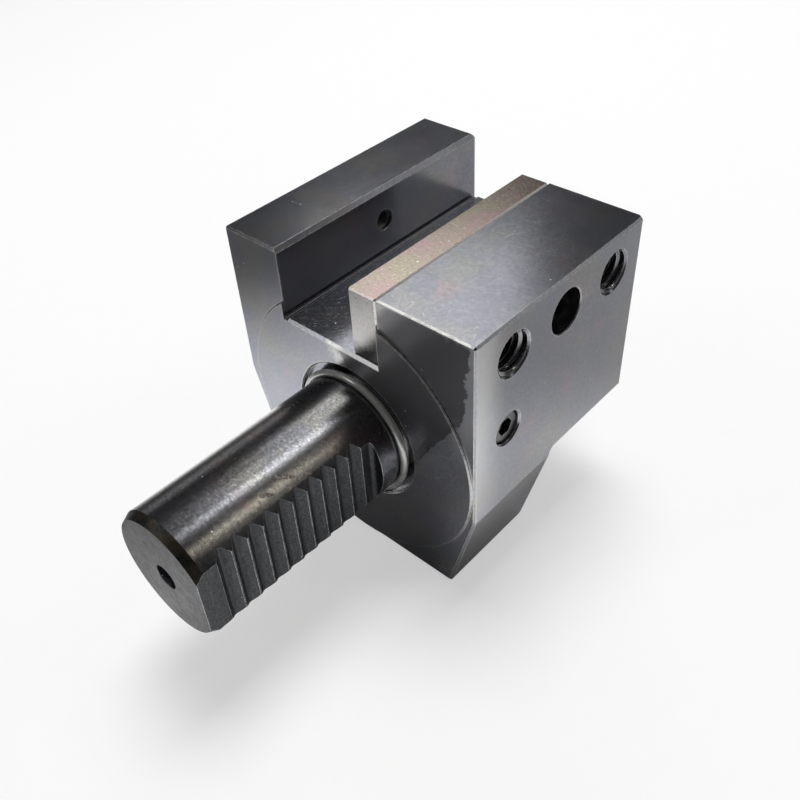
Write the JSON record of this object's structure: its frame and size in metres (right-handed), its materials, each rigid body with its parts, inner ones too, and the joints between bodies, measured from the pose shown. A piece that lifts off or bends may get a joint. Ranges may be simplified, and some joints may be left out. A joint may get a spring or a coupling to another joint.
{
  "type": "vdi tool holder",
  "caption": "Axial lathe tool holder with a toothed round shank, an open square tool slot and a sprung clamp bar pushed by set screws.",
  "frame": {"origin": "where the shank axis meets the seat face", "axes": "-Y along the shank to its end, +Y to the tool side, +X to the clamp screws, +Z out of the tool slot"},
  "size_m": [0.072, 0.125, 0.0754],
  "materials": {
    "blackened_steel": "black oxide on ground and milled steel, satin",
    "bar_steel": "blackened steel with a brown straw tint",
    "screw_steel": "black oxide, rolled threads",
    "spring_steel": "drawn spring wire",
    "nozzle_steel": "ground steel ball",
    "seal_rubber": "oiled black nitrile rubber"
  },
  "bodies": {
    "holder": {"holder_body": "blackened_steel", "seat_o_ring": "seal_rubber", "coolant_plug": "screw_steel", "nozzle_ring": "blackened_steel", "nozzle_seal": "seal_rubber", "return_spring": "spring_steel"},
    "bar": {"clamp_bar": "bar_steel", "retaining_screw": "screw_steel"},
    "front_screw": {"clamp_screw_front": "screw_steel"},
    "rear_screw": {"clamp_screw_rear": "screw_steel"},
    "nozzle": {"nozzle_ball": "nozzle_steel"}
  },
  "joints": [
    {"name": "bar_slide", "type": "slide", "parent": "holder", "child": "bar", "axis": [-1, 0, 0], "range_m": [0, 0.004], "stiffness_N_per_m": 1500, "springref_m": -0.002, "deforming": ["return_spring"]},
    {"name": "front_screw_turn", "type": "hinge", "parent": "bar", "child": "front_screw", "pos_m": [0.01865, 0.013, 0.0314], "axis": [-1, 0, 0], "range_deg": [0, 961]},
    {"name": "rear_screw_turn", "type": "hinge", "parent": "bar", "child": "rear_screw", "pos_m": [0.01865, 0.0494, 0.0314], "axis": [-1, 0, 0], "range_deg": [0, 961]},
    {"name": "nozzle_swivel", "type": "hinge", "parent": "holder", "child": "nozzle", "pos_m": [0.02177, 0.0548, 0.012], "axis": [1, 0, 0], "range_deg": [-15, 15]}
  ],
  "couplings": [
    {"joint": "front_screw_turn", "follows": "bar_slide", "rad_per_m": 4188.8},
    {"joint": "rear_screw_turn", "follows": "bar_slide", "rad_per_m": 4188.8}
  ]
}
